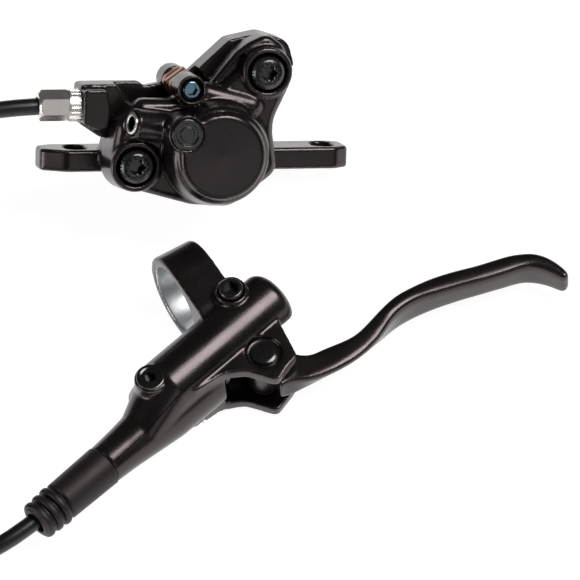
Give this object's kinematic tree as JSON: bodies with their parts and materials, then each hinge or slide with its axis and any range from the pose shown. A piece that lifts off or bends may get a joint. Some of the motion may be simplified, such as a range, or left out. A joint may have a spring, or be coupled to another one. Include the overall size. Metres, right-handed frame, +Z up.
{
  "type": "hydraulic disc brake",
  "caption": "Bicycle disc brake: handlebar lever with a master cylinder, a fluid hose with its spare length coiled, and a post mount caliper.",
  "frame": {"origin": "middle of the base of the lever and caliper as they lie, on the floor they lie on", "axes": "+Z up from the floor, +X along the wider side of the layout from the hose side to the blade side, +Y from the lever towards the caliper"},
  "size_m": [0.2376, 0.1586, 0.0558],
  "materials": {
    "casting": "satin black anodised and painted aluminium",
    "black_steel": "black oxide steel",
    "chrome": "bright plated steel",
    "steel": "plain steel",
    "rubber": "matt black rubber",
    "hose": "semi-gloss black hose sheath",
    "brass": "plain brass",
    "bush": "black bearing plastic",
    "bare_aluminium": "machined aluminium",
    "piston_resin": "moulded phenolic resin",
    "copper_steel": "copper coloured plating on steel",
    "lining": "sintered friction compound"
  },
  "bodies": {
    "brake_frame": {"axle_clip": "steel", "boot": "rubber", "caliper_bleed_screw": "black_steel", "caliper_hose_nut": "chrome", "caliper_inner_half": "casting", "caliper_olive": "brass", "caliper_outer_half": "casting", "clamp_bolt": "black_steel", "diaphragm": "rubber", "hose_caliper_end": "hose", "hose_coil": "hose", "hose_lever_end": "hose", "inner_piston_seal": "rubber", "lever_bleed_oring": "rubber", "lever_bleed_screw": "black_steel", "lever_body": "casting", "lever_hose_nut": "chrome", "lever_olive": "brass", "lid_screws": "steel", "lower_body_bolt": "black_steel", "master_spring": "steel", "outer_piston_seal": "rubber", "pad_axle": "chrome", "pad_spring": "copper_steel", "passage_plug": "black_steel", "piston_ring": "steel", "pivot_clip": "steel", "pivot_pin": "black_steel", "reservoir_lid": "casting", "transfer_oring": "rubber", "upper_body_bolt": "black_steel"},
    "lever_blade": {"blade": "casting", "blade_bushes": "bush", "reach_screw": "steel"},
    "master_piston_train": {"master_piston": "bare_aluminium", "push_rod": "steel", "primary_seal": "rubber", "secondary_seal": "rubber"},
    "outer_pad_set": {"outer_piston": "piston_resin", "outer_pad_plate": "copper_steel", "outer_pad_lining": "lining"},
    "inner_pad_set": {"inner_piston": "piston_resin", "inner_pad_plate": "copper_steel", "inner_pad_lining": "lining"}
  },
  "joints": [
    {"name": "blade_pivot", "type": "hinge", "parent": "brake_frame", "child": "lever_blade", "pos_m": [-0.00917, -0.0266, 0.01272], "axis": [0.0553, -0.1142, 0.9919], "range_deg": [0, 20], "stiffness_Nm_per_rad": 0.05},
    {"name": "master_piston_slide", "type": "slide", "parent": "brake_frame", "child": "master_piston_train", "axis": [-0.7734, -0.6332, -0.0298], "range_m": [0, 0.0034], "deforming": ["master_spring"]},
    {"name": "outer_pad_slide", "type": "slide", "parent": "brake_frame", "child": "outer_pad_set", "axis": [-0.2349, 0.7333, -0.638], "range_m": [0, 0.001]},
    {"name": "inner_pad_slide", "type": "slide", "parent": "brake_frame", "child": "inner_pad_set", "axis": [0.2349, -0.7333, 0.638], "range_m": [0, 0.001]}
  ],
  "couplings": [
    {"joint": "master_piston_slide", "follows": "blade_pivot", "m_per_rad": 0.00963},
    {"joint": "outer_pad_slide", "follows": "blade_pivot", "m_per_rad": 0.0028648},
    {"joint": "inner_pad_slide", "follows": "blade_pivot", "m_per_rad": 0.0028648}
  ]
}
